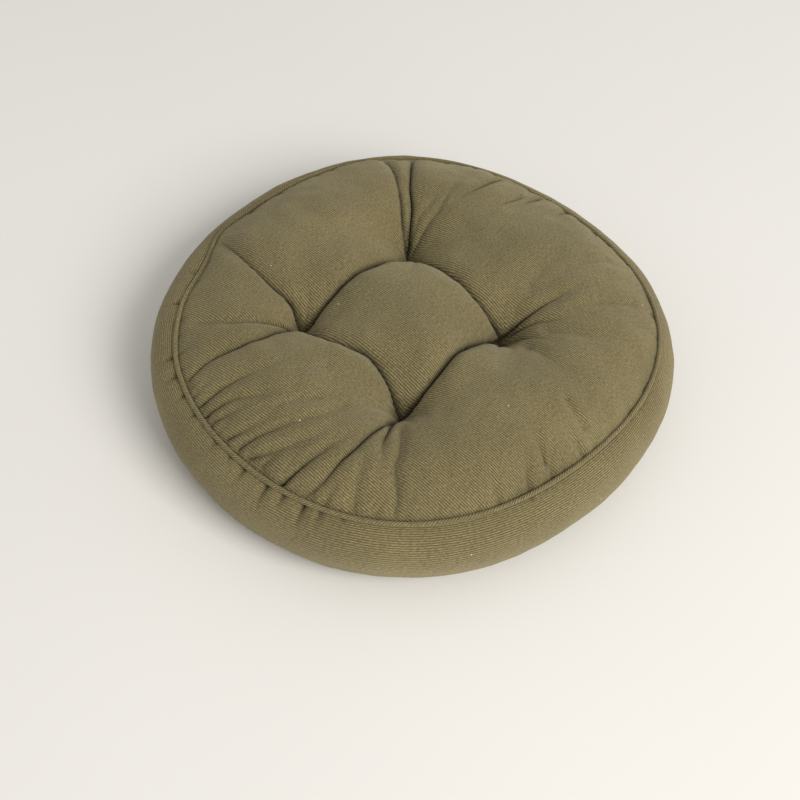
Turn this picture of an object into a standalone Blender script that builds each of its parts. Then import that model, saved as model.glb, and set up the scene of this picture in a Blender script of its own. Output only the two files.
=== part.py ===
"""Round tufted floor cushion: a box-edge cover in needlecord, piped at both seams, stuffed with fibre.

Run it with: blender --background --python part.py
Metres, +Z up. The origin is on the floor, under the middle of the cushion.

The cover is two discs and one side band. Each seam is sewn through four layers: the disc, the two
layers of the piping's flange, and the band. Their allowances turn in between the cover and the
filling. Four twine ties go right through the cushion and pull its faces together.
"""

import math

import bmesh
import bpy
import numpy as np

MM = 0.001

# Overall sizes
OVERALL_RADIUS = 300 * MM
OVERALL_HEIGHT = 126 * MM
BAND_BULGE = 31.5 * MM  # how far the band stands out past the seams
CROWN_RISE = 30.5 * MM  # from the upper seam to the top
SEAM_RADIUS = OVERALL_RADIUS - BAND_BULGE
UPPER_SEAM_HEIGHT = OVERALL_HEIGHT - CROWN_RISE
LOWER_SEAM_HEIGHT = 12 * MM
CROWN_RUN = 88 * MM  # from the upper seam in to where the top is at its full height
UNDERSIDE_RUN = 34 * MM  # from the lower seam in to where the underside is on the floor

# Cloth, piping and thread
CLOTH = 1.0 * MM
GAP = 0.3 * MM  # between pieces that touch
FILLING_GAP = 0.6 * MM  # between the filling and the cloth that it presses on
ALLOWANCE = 9 * MM
PIPING_RADIUS = 2.7 * MM
THREAD_RADIUS = 0.3 * MM
UPPER_PIPING_TILT = math.radians(45)  # above the horizontal
LOWER_PIPING_TILT = math.radians(-30)

# Tufts
TUFT_SPACING_RADIUS = 118 * MM
TUFT_CENTRE = (-13 * MM, 0.0)
TUFT_DIMPLE_RADIUS = 74 * MM
UPPER_TUFT_DEPTH = 66 * MM
LOWER_TUFT_DEPTH = 19 * MM
TWINE_RADIUS = 0.75 * MM
TWINE_LEG_OFFSET = 2.5 * MM  # each leg from the tuft's middle
KNOT_RADIUS = 1.9 * MM
TUFTS = {"right": 0.0, "back": 90.0, "left": 180.0, "front": 270.0}

# The join of the band and the closed stuffing gap, both at the back
BACK = math.radians(90)
JOIN_STEPS_LEFT_OUT = 2  # facets of the band, above and below the join's allowances

# Facets
RING_STEPS = 40
PANEL_RINGS = 13
BAND_STEPS = 9
PIPING_STEPS = 8
CORD_SIDES = 6
THREAD_SIDES = 4
CLOSING_GAP_ANGLE = 4 * math.tau / RING_STEPS  # whole facets, so that the threads stay on the cloth

COLOURS = {
    "needlecord": ((0.150, 0.122, 0.062), 0.92),
    "piping_cord": ((0.72, 0.68, 0.58), 0.9),
    "fibre": ((0.86, 0.86, 0.84), 1.0),
    "twine": ((0.120, 0.098, 0.052), 0.8),
    "thread": ((0.130, 0.106, 0.055), 0.75),
}


def clear_scene():
    for obj in list(bpy.data.objects):
        bpy.data.objects.remove(obj)


def new_collection(name, hidden=False):
    collection = bpy.data.collections.new(name)
    collection.hide_render = hidden
    bpy.context.scene.collection.children.link(collection)
    return collection


def material(name):
    """A plain Principled material in the named colour, made once."""
    found = bpy.data.materials.get(name)
    if found:
        return found
    colour, roughness = COLOURS[name]
    made = bpy.data.materials.new(name)
    made.use_nodes = True
    shader = made.node_tree.nodes["Principled BSDF"]
    shader.inputs["Base Color"].default_value = (*colour, 1.0)
    shader.inputs["Roughness"].default_value = roughness
    shader.inputs["Metallic"].default_value = 0.0
    return made


def as_object(name, mesh, collection, finish=None):
    """An object of the named finish, shaded smooth but for its real edges."""
    obj = bpy.data.objects.new(name, mesh)
    collection.objects.link(obj)
    if finish:
        mesh.materials.clear()
        mesh.materials.append(material(finish))
        mesh.shade_smooth()
        mesh.set_sharp_from_angle(angle=math.radians(50))
    return obj


def settled_mesh(obj):
    """The object's mesh with its modifiers applied. The object itself is removed."""
    bpy.context.view_layer.update()
    graph = bpy.context.evaluated_depsgraph_get()
    mesh = bpy.data.meshes.new_from_object(obj.evaluated_get(graph))
    mesh.transform(obj.matrix_world)
    bpy.data.objects.remove(obj)
    return mesh


def turned(profile, angle=math.tau, steps=RING_STEPS, closed=False):
    """The mesh of a profile of (radius, height) points turned about Z, starting at +X."""
    mesh = bpy.data.meshes.new("profile")
    edges = [(i, i + 1) for i in range(len(profile) - 1)]
    if closed:
        edges.append((len(profile) - 1, 0))
    mesh.from_pydata([(r, 0.0, z) for r, z in profile], edges, [])
    obj = bpy.data.objects.new("profile", mesh)
    bpy.context.scene.collection.objects.link(obj)
    screw = obj.modifiers.new("Turn", "SCREW")
    screw.angle = angle
    screw.steps = screw.render_steps = steps
    screw.use_merge_vertices = True
    screw.merge_threshold = 0.00005
    screw.use_normal_calculate = True
    return settled_mesh(obj)


def cloth(name, mesh, parts):
    """A piece of needlecord, with the cloth's thickness on the inner side of the mesh."""
    obj = as_object(name, mesh, parts, "needlecord")
    solidify = obj.modifiers.new("Cloth", "SOLIDIFY")
    solidify.thickness = CLOTH
    solidify.offset = -1.0
    solidify.use_even_offset = True
    return obj


def boolean(obj, other, operation="DIFFERENCE"):
    modifier = obj.modifiers.new(other.name, "BOOLEAN")
    modifier.operation = operation
    modifier.object = other


def helper(obj):
    """Marks a cutter or a piece that another object takes in."""
    obj.hide_render = True
    obj.display_type = "WIRE"
    return obj


class Seam:
    """A piped seam. It stands at (radius, height), and its piping points out along the tilt.

    A place in it is (out, over): out along the piping, and over towards the disc that it holds.
    """

    def __init__(self, height, tilt, disc_side):
        self.height = height
        self.out = np.array([math.cos(tilt), math.sin(tilt)])
        self.over = np.array([-math.sin(tilt), math.cos(tilt)]) * disc_side

    def at(self, out, over):
        radius, height = np.array([SEAM_RADIUS, self.height]) + out * self.out + over * self.over
        return float(radius), float(height)


# Distances in a seam, from the middle of the flange: the flange's own outer face, then the outer
# face of the cloth that is sewn to it, then that cloth's inner face.
FLANGE_FACE = GAP / 2 + CLOTH
CLOTH_FACE = FLANGE_FACE + GAP
STACK_FACE = CLOTH_FACE + CLOTH
FOLD_OUT = -math.sqrt((PIPING_RADIUS + GAP) ** 2 - CLOTH_FACE**2) - 0.1 * MM
STACK_END = FOLD_OUT - ALLOWANCE

# The piping's cloth goes round the cord to this angle on each side, where the flange starts
PIPING_SWEEP = math.pi - math.asin(FLANGE_FACE / PIPING_RADIUS)
CORD_RADIUS = PIPING_RADIUS * math.cos(PIPING_SWEEP / PIPING_STEPS) - CLOTH - GAP

UPPER = Seam(UPPER_SEAM_HEIGHT, UPPER_PIPING_TILT, 1)
LOWER = Seam(LOWER_SEAM_HEIGHT, LOWER_PIPING_TILT, -1)


def disc_profile(seam, run, level):
    """Outer face of a disc, from its middle to the fold at the seam."""
    fold_radius, fold_height = seam.at(FOLD_OUT, CLOTH_FACE)
    points = []
    for i in range(PANEL_RINGS + 1):
        radius = fold_radius * i / PANEL_RINGS
        share = min(1.0, (fold_radius - radius) / run)
        points.append((radius, fold_height + (level - fold_height) * math.sin(share * math.pi / 2)))
    return points


def band_arc(inset=0.0):
    """The band's outer face, from the upper fold round the bulge to the lower fold, moved in by inset."""
    upper = np.array(UPPER.at(FOLD_OUT, -CLOTH_FACE))
    lower = np.array(LOWER.at(FOLD_OUT, -CLOTH_FACE))
    middle_height = (upper[1] + lower[1]) / 2
    half_chord = np.linalg.norm(upper - lower) / 2
    sagitta = OVERALL_RADIUS - (upper[0] + lower[0]) / 2
    radius = (half_chord**2 + sagitta**2) / (2 * sagitta)
    centre = np.array([OVERALL_RADIUS - radius, middle_height])
    start = math.atan2(*(upper - centre)[::-1])
    end = math.atan2(*(lower - centre)[::-1])
    angles = np.linspace(start, end, BAND_STEPS + 1)
    reach = radius - inset
    places = [centre + reach * np.array([math.cos(a), math.sin(a)]) for a in angles]
    return [tuple(map(float, place)) for place in places]


def tuft_places():
    """The middle of each tuft, by name."""
    return {
        name: (
            TUFT_CENTRE[0] + TUFT_SPACING_RADIUS * math.cos(math.radians(angle)),
            TUFT_CENTRE[1] + TUFT_SPACING_RADIUS * math.sin(math.radians(angle)),
        )
        for name, angle in TUFTS.items()
    }


def tuft_pull(x, y):
    """How far the tufts pull the faces in at (x, y), from 0 to 1."""
    nearest = min(math.hypot(x - a, y - b) for a, b in tuft_places().values())
    if nearest >= TUFT_DIMPLE_RADIUS:
        return 0.0
    return 0.5 + 0.5 * math.cos(math.pi * nearest / TUFT_DIMPLE_RADIUS)


def fold_heights():
    """The heights of the folds where the two discs meet their piping."""
    return UPPER.at(FOLD_OUT, CLOTH_FACE)[1], LOWER.at(FOLD_OUT, CLOTH_FACE)[1]


def tuft(mesh):
    """Sinks the dimples into both faces of a mesh, and leaves its rim between the seams as it is."""
    upper_fold, lower_fold = fold_heights()
    for vertex in mesh.vertices:
        pull = tuft_pull(vertex.co.x, vertex.co.y)
        if vertex.co.z > upper_fold:
            vertex.co.z -= pull * UPPER_TUFT_DEPTH
        elif vertex.co.z < lower_fold:
            vertex.co.z += pull * LOWER_TUFT_DEPTH
    mesh.update()


def make_disc(name, seam, run, level, parts):
    """A disc of the cover: its face, and its allowance turned in at the seam."""
    profile = disc_profile(seam, run, level)
    profile.append(seam.at(STACK_END, CLOTH_FACE))
    if seam is UPPER:
        profile.reverse()
    mesh = turned(profile)
    tuft(mesh)
    return cloth(name, mesh, parts)


def make_piping(name, seam, parts):
    """The cover of a piping, wrapped round its cord, with its flange between the disc and the band."""
    profile = [seam.at(STACK_END, FLANGE_FACE)]
    for i in range(PIPING_STEPS + 1):
        angle = PIPING_SWEEP * (1 - 2 * i / PIPING_STEPS)
        profile.append(seam.at(PIPING_RADIUS * math.cos(angle), PIPING_RADIUS * math.sin(angle)))
    profile.append(seam.at(STACK_END, -FLANGE_FACE))
    if seam is LOWER:
        profile.reverse()
    return cloth(f"{name}_cover", turned(profile), parts)


def ring(name, seam, out, over, radius, sides, parts, finish, angle=math.tau, turn=0.0):
    """A round cord or thread that runs along a seam, all the way or over an angle from the turn."""
    steps = round(RING_STEPS * angle / math.tau)
    centre = seam.at(out, over)
    section = [
        (centre[0] + radius * math.cos(a), centre[1] + radius * math.sin(a))
        for a in (math.pi / 2 - math.tau * i / sides for i in range(sides))
    ]
    mesh = turned(section, angle, steps, closed=True)
    if angle < math.tau:
        close_up(mesh)
    obj = as_object(name, mesh, parts, finish)
    obj.rotation_euler.z = turn
    return obj


def close_up(mesh):
    """Welds the points that lie on each other, closes open ends and turns every face outward."""
    work = bmesh.new()
    work.from_mesh(mesh)
    bmesh.ops.remove_doubles(work, verts=work.verts, dist=0.01 * MM)
    bmesh.ops.holes_fill(work, edges=[e for e in work.edges if e.is_boundary])
    bmesh.ops.recalc_face_normals(work, faces=work.faces)
    work.to_mesh(mesh)
    work.free()


def join_line(inset):
    """The stretch of the band's arc that the join's allowances follow, moved in by inset."""
    return band_arc(inset)[JOIN_STEPS_LEFT_OUT:-JOIN_STEPS_LEFT_OUT]


def upright_plate(name, outline, thickness, middle_x, helpers):
    """A flat outline in the plane of the back join, as a plate of the given thickness."""
    curve = bpy.data.curves.new(name, "CURVE")
    curve.dimensions = "2D"
    curve.fill_mode = "BOTH"
    curve.extrude = thickness / 2
    spline = curve.splines.new("POLY")
    spline.points.add(len(outline) - 1)
    for point, (radius, height) in zip(spline.points, outline):
        point.co = (radius, height, 0.0, 1.0)
    spline.use_cyclic_u = True
    obj = bpy.data.objects.new(name, curve)
    helpers.objects.link(obj)
    obj.rotation_euler = (math.pi / 2, 0.0, BACK)
    obj.location.x = middle_x
    mesh = settled_mesh(obj)
    close_up(mesh)
    return helper(as_object(name, mesh, helpers))


# How far from the fold the filling starts along the allowances, on each side of them
DISC_CORNER = 3.2 * MM
BAND_CORNER = 2.6 * MM

JOIN_FLAP_DEPTH = CLOTH + ALLOWANCE
JOIN_FLAP_MIDDLE = GAP / 2 + 0.1 * MM + CLOTH / 2  # each flap's middle plane, from the join
JOIN_THREAD_MIDDLE = JOIN_FLAP_MIDDLE + CLOTH / 2 + GAP + THREAD_RADIUS


def make_side_band(parts, helpers):
    """The band: one strip, closed at the back by a join whose two allowances turn in."""
    profile = [UPPER.at(STACK_END, -CLOTH_FACE), *band_arc(), LOWER.at(STACK_END, -CLOTH_FACE)]
    half_slit = math.asin(GAP / 2 / OVERALL_RADIUS)
    band = cloth("side_band", turned(profile, math.tau - 2 * half_slit), parts)
    band.rotation_euler.z = BACK + half_slit
    outline = join_line(CLOTH / 2) + join_line(JOIN_FLAP_DEPTH)[::-1]
    for side, sign in (("left", -1), ("right", 1)):
        flap = upright_plate(f"join_flap_{side}", outline, CLOTH, sign * JOIN_FLAP_MIDDLE, helpers)
        boolean(band, flap, "UNION")
    return band


def make_join_thread(parts):
    """The row of stitches that closes the band, along the flap just inside the band."""
    line = join_line(CLOTH + 2 * GAP + THREAD_RADIUS)
    curve = bpy.data.curves.new("band_join_thread", "CURVE")
    curve.dimensions = "3D"
    curve.bevel_depth = THREAD_RADIUS
    curve.bevel_resolution = 1
    curve.use_fill_caps = True
    spline = curve.splines.new("POLY")
    spline.points.add(len(line) - 1)
    for point, (radius, height) in zip(spline.points, line):
        point.co = (-JOIN_THREAD_MIDDLE, radius, height, 1.0)
    obj = bpy.data.objects.new("band_join_thread", curve)
    curve.materials.append(material("thread"))
    parts.objects.link(obj)
    return obj


def move_in(mesh, indices, inset):
    """Moves the faces round these points in by inset, and keeps them parallel to where they were."""
    work = bmesh.new()
    work.from_mesh(mesh)
    work.verts.ensure_lookup_table()
    moves = {i: work.verts[i].normal * inset * work.verts[i].calc_shell_factor() for i in indices}
    for i, move in moves.items():
        work.verts[i].co -= move
    work.to_mesh(mesh)
    work.free()


def make_filling(parts, helpers):
    """The fibre: it fills the cover, and goes round the allowances and the threads."""
    thread_room = 2 * THREAD_RADIUS + 2 * GAP
    inset = CLOTH + FILLING_GAP
    notch_end = STACK_END - GAP

    def notch(seam, disc_first):
        disc_side = [
            seam.at(FOLD_OUT - DISC_CORNER, STACK_FACE + thread_room),
            seam.at(notch_end, STACK_FACE + thread_room),
        ]
        band_side = [
            seam.at(notch_end, -STACK_FACE - GAP),
            seam.at(FOLD_OUT - BAND_CORNER, -STACK_FACE - GAP),
        ]
        line = disc_side + band_side
        return line if disc_first else line[::-1]

    # The disc's outermost ring is left out, because its place is the notch's first point.
    top = disc_profile(UPPER, CROWN_RUN, OVERALL_HEIGHT)[:-1]
    bottom = disc_profile(LOWER, UNDERSIDE_RUN, 0.0)[:-1]
    side = band_arc(inset)[1:-1]
    profile = top + notch(UPPER, True) + side + notch(LOWER, False) + bottom[::-1]
    mesh = turned(profile)
    upper_fold, lower_fold = fold_heights()
    face_points = [v.index for v in mesh.vertices if not lower_fold <= v.co.z <= upper_fold]
    tuft(mesh)
    move_in(mesh, face_points, inset)
    filling = as_object("fibre_filling", mesh, parts, "fibre")
    slot_half = JOIN_THREAD_MIDDLE + THREAD_RADIUS + GAP
    inner_end = min(radius for radius, _ in join_line(JOIN_FLAP_DEPTH + GAP))
    outer_end = 2 * OVERALL_RADIUS
    high, low = (join_line(0.0)[i][1] for i in (0, -1))
    bpy.ops.mesh.primitive_cube_add(size=1)
    slot = bpy.context.object
    slot.name = "join_slot"
    slot.location = (0.0, (inner_end + outer_end) / 2, (high + low) / 2)
    slot.scale = (2 * slot_half, outer_end - inner_end, high - low + 2 * GAP)
    boolean(filling, move_to(slot, helpers))
    return filling


def move_to(obj, collection):
    for old in list(obj.users_collection):
        old.objects.unlink(obj)
    collection.objects.link(obj)
    return helper(obj)


def cylinder(name, radius, low, high, place, helpers):
    bpy.ops.mesh.primitive_cylinder_add(vertices=8, radius=radius, depth=high - low)
    obj = bpy.context.object
    obj.name = name
    obj.location = (place[0], place[1], (low + high) / 2)
    return move_to(obj, helpers)


def seat_height(obj, x, y, from_above):
    """The height of an object's outer face at (x, y), seen from above or from below."""
    graph = bpy.context.evaluated_depsgraph_get()
    start = 1.0 if from_above else -1.0
    hit, place, _, _ = obj.evaluated_get(graph).ray_cast((x, y, start), (0.0, 0.0, -start))
    assert hit
    return place.z


def tie_leg_places(place):
    return [(place[0] - TWINE_LEG_OFFSET, place[1]), (place[0] + TWINE_LEG_OFFSET, place[1])]


def tie_seat(obj, place, from_above):
    """Where the twine lies on a face: clear of the highest cloth under it."""
    along = np.linspace(-1, 1, 5) * (TWINE_LEG_OFFSET + TWINE_RADIUS)
    across = (-TWINE_RADIUS, 0.0, TWINE_RADIUS)
    heights = [seat_height(obj, place[0] + a, place[1] + b, from_above) for a in along for b in across]
    clear = GAP + TWINE_RADIUS
    return max(heights) + clear if from_above else min(heights) - clear


def make_tie(name, place, top_seat, bottom_seat, parts, helpers):
    """One loop of twine through the cushion: a short stitch on top, and a knot underneath."""
    corner = 0.35 * TWINE_LEG_OFFSET
    arch = [(-1.0, -0.9), (-0.82, -0.2), (-0.45, 0.0), (0.45, 0.0), (0.82, -0.2), (1.0, -0.9)]
    over = [(TWINE_LEG_OFFSET * s, top_seat + corner * h) for s, h in arch]
    under = [(TWINE_LEG_OFFSET * s, bottom_seat - corner * h) for s, h in reversed(arch)]
    curve = bpy.data.curves.new(name, "CURVE")
    curve.dimensions = "3D"
    curve.bevel_depth = TWINE_RADIUS
    curve.bevel_resolution = 2
    spline = curve.splines.new("POLY")
    spline.points.add(len(over + under) - 1)
    for point, (x, z) in zip(spline.points, over + under):
        point.co = (place[0] + x, place[1], z, 1.0)
    spline.use_cyclic_u = True
    loop = bpy.data.objects.new(name, curve)
    parts.objects.link(loop)
    mesh = settled_mesh(loop)
    close_up(mesh)
    tie = as_object(name, mesh, parts, "twine")
    bpy.ops.mesh.primitive_ico_sphere_add(subdivisions=2, radius=KNOT_RADIUS)
    knot = bpy.context.object
    knot.name = f"knot_{name}"
    knot.location = (place[0], place[1], bottom_seat - KNOT_RADIUS + TWINE_RADIUS)
    boolean(tie, move_to(knot, helpers), "UNION")
    return tie


def make_ties(top, bottom, filling, parts, helpers):
    """The four ties, the holes that they use in the two discs, and their channels in the filling."""
    bpy.context.view_layer.update()
    places = tuft_places()
    seats = {n: (tie_seat(top, p, True), tie_seat(bottom, p, False)) for n, p in places.items()}
    for name, place in places.items():
        high, low = seats[name]
        for leg, leg_place in zip("ab", tie_leg_places(place)):
            radius = TWINE_RADIUS + GAP
            hole = cylinder(f"hole_{name}_{leg}", radius, low - 0.01, high + 0.01, leg_place, helpers)
            boolean(top, hole)
            boolean(bottom, hole)
        radius = TWINE_LEG_OFFSET + TWINE_RADIUS + GAP
        boolean(filling, cylinder(f"channel_{name}", radius, low - 0.01, high + 0.01, place, helpers))
        make_tie(f"tuft_tie_{name}", place, high, low, parts, helpers)


def main():
    clear_scene()
    parts = new_collection("floor_cushion")
    helpers = new_collection("helpers", hidden=True)
    top = make_disc("top_panel", UPPER, CROWN_RUN, OVERALL_HEIGHT, parts)
    bottom = make_disc("bottom_panel", LOWER, UNDERSIDE_RUN, 0.0, parts)
    make_side_band(parts, helpers)
    make_join_thread(parts)
    thread_over = STACK_FACE + GAP + THREAD_RADIUS
    thread_out = FOLD_OUT - 4 * MM
    for name, seam in (("upper", UPPER), ("lower", LOWER)):
        make_piping(f"{name}_piping", seam, parts)
        ring(f"{name}_piping_cord", seam, 0.0, 0.0, CORD_RADIUS, CORD_SIDES, parts, "piping_cord")
    thread = (thread_out, thread_over, THREAD_RADIUS, THREAD_SIDES, parts, "thread")
    ring("upper_seam_thread", UPPER, *thread)
    end_space = 2 * MM / SEAM_RADIUS
    sewn = math.tau - CLOSING_GAP_ANGLE
    ring("lower_seam_thread", LOWER, *thread, angle=sewn, turn=BACK + CLOSING_GAP_ANGLE / 2)
    closed = CLOSING_GAP_ANGLE - end_space
    ring("closing_thread", LOWER, *thread, angle=closed, turn=BACK - closed / 2)
    filling = make_filling(parts, helpers)
    make_ties(top, bottom, filling, parts, helpers)


main()
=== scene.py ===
"""Dresses the floor cushion: needlecord cover, piping, stitching, twine tufts and fibre filling.

Every size is in metres. The cover starts as flat pieces cut to a pattern, and a cloth simulation
stuffs and tufts it. The other pieces are then made on the shape that it settles to.
"""

import math
import random

import bpy
import numpy as np
from mathutils import Matrix, Vector, geometry, noise


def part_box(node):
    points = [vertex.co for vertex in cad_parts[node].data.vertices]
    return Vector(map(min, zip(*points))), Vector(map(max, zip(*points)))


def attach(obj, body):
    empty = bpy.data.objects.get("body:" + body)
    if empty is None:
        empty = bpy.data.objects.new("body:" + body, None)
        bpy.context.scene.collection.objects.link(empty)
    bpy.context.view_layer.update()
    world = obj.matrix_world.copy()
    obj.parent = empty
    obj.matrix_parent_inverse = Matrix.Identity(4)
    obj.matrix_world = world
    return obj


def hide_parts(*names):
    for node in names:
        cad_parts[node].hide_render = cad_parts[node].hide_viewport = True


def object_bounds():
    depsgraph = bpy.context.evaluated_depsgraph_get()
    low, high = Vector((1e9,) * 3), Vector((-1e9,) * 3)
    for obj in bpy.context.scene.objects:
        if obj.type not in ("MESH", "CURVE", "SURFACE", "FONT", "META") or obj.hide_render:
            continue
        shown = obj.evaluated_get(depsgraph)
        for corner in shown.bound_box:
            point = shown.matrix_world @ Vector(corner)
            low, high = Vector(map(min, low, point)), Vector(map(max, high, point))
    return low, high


bl_info = {
    "name": "Tufted Floor Cushion",
    "version": (1, 0, 0),
    "blender": (4, 5, 0),
    "location": "View3D > Sidebar > Cushion",
    "description": "Makes a round tufted floor cushion in needlecord, with piped seams",
    "category": "Add Mesh",
}

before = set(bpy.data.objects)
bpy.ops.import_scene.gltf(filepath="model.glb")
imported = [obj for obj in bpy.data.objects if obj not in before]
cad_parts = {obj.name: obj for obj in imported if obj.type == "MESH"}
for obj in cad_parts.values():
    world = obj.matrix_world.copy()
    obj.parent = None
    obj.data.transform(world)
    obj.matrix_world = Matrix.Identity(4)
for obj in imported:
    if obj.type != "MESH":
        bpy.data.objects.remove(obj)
CAD_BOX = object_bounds()
MM = 0.001


def cad_middle(node):
    low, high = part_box(node)
    return [(a + b) / 2 for a, b in zip(low, high)]


# The frame's own places
SEAM_IN_CORD = 1.2 * MM  # how far a seam runs inside the outer edge of its cord
UPPER_SEAM, LOWER_SEAM = (  # the radius and the height of each
    (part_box(cord)[1][0] - SEAM_IN_CORD, cad_middle(cord)[2])
    for cord in ("upper_piping_cord", "lower_piping_cord")
)
OVERALL_RADIUS = CAD_BOX[1][0]
CROWN_HEIGHT = CAD_BOX[1][2]
TUFT_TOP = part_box("tuft_tie_back")[1][2] + 1 * MM  # where the ties hold the cloth, above and below
TUFT_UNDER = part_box("tuft_tie_back")[0][2] + 4.5 * MM
BACK = math.radians(90)

# How far the drawn cloth leaves each tuft from its tie, across and deep, in mm
DRAWN = {"right": (-5, -13), "back": (-1, -12), "left": (3, -16), "front": (4, -11)}
TUFTS = {
    name: tuple(cad_middle(f"tuft_tie_{name}")[axis] + moved[axis] * MM for axis in (0, 1))
    for name, moved in DRAWN.items()
}

# The cutting pattern and the simulation
PATTERN_RADIUS = 294 * MM
PATTERN_BAND = 112 * MM
CELL = 4.6 * MM
UNDERSIDE_CELL = 9 * MM
RING_CELL = 5.6 * MM
WALE_TURN = math.radians(145)  # how the top and the underside are cut, from +X to along a wale
SIMULATION_FRAMES = 16
CLOTH_FEEL = {  # stiffness and damping
    "tension": (20.0, 5.0),
    "compression": (20.0, 5.0),
    "shear": (2.0, 5.0),
    "bending": (0.02, 0.5),
}
CLOTH_POINT_MASS = 0.0005
SEAM_HOLD = 0.7

# How the sewn ring stands out of round: waves round it, how far out in mm and turned by how many degrees
SEAM_WAVES = ((2, 4.7, 96), (3, 4.0, -5), (4, 4.9, 18))
# Where the upper seam is caught up at the left: in which direction, how far out in mm and how many degrees wide
SEAM_KINKS = ((154, 5.5, 8), (169, -9.0, 11), (187, -3.0, 9))

# The rough shape
PIT_SPREAD = 28 * MM
TOP_SHOULDER, UNDER_SHOULDER = 85 * MM, 34 * MM  # how far in from the seam each face rounds off
CREASE_SEED = 0.45 * MM  # how much of each mm of a crease is there before the simulation
TUFT_GATHER = 1.2 * MM
UNDER_DIMPLE = 60 * MM
BAND_SLACK = (4.3, 2.2, math.radians(30))  # how far the band stays inside the overall radius, and where most
LOWEST_CLOTH = 0.3 * MM

# Folds, in mm
SNAP = 0.46 * CELL / 2 / MM  # a point of the mesh this near to a crease's line lies on it
LIP = 0.7  # the share of a crease's reach that its lips are drawn from
TUFT_MOUTH = 9.0
SOFT_FOLD, SHARP_FOLD = 2, 8  # how deep a fold is where it stops being a dimple, and where it is all cleft
LIP_PULL, LIP_WIDTH = 0.075, 4  # how far the lips come together for each mm of depth, and how wide they are
SEAM_PUFF, SEAM_PUFF_REACH = 3.5, 16
TOP_LUMPS = ((2.6, 60, 3.0), (1.5, 24, 9.0), (0.5, 11, 4.0))  # how high, how wide, and the seed
BAND_LUMPS = ((1.3, 60, 5.0), (0.5, 18, 2.0))
BAND_PUFF, BAND_PUFF_REACH = 2.4, 14
PUCKER_REACH = 9.0
JOIN_DEPTH, JOIN_REACH = 2.2, 7

# Piping, stitches, twine and filling
PIPING_LIFT = 2.7 * MM
CORD_COVER = 1.3 * MM
CORD_STEP = 1.6 * MM
MACHINE_STITCH = 2.7 * MM
HAND_STITCH, HAND_SPACING, HAND_SLANT = 5.0 * MM, 4.5 * MM, 0.9
SEAM_INSET, SEAM_DROP = 2.6 * MM, 0.4 * MM
TWINE_SIDES = 8
LOOP_HALF = 2.5 * MM
FILLING_INSET = 5.0
FLOOR_GAP = 3 * MM

# The stage
ROOM_LIGHT = 0.51
WINDOW_PLACE, WINDOW_SIZE, WINDOW_POWER = (3.1, -2.8, 3.3), 2.8, 226.0
CAMERA_PLACE, CAMERA_LENS = (-0.0106, -0.934, 1.136), 55.1
CAMERA_DOWN, CAMERA_LEAN = math.radians(51.83), math.radians(4.63)

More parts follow.
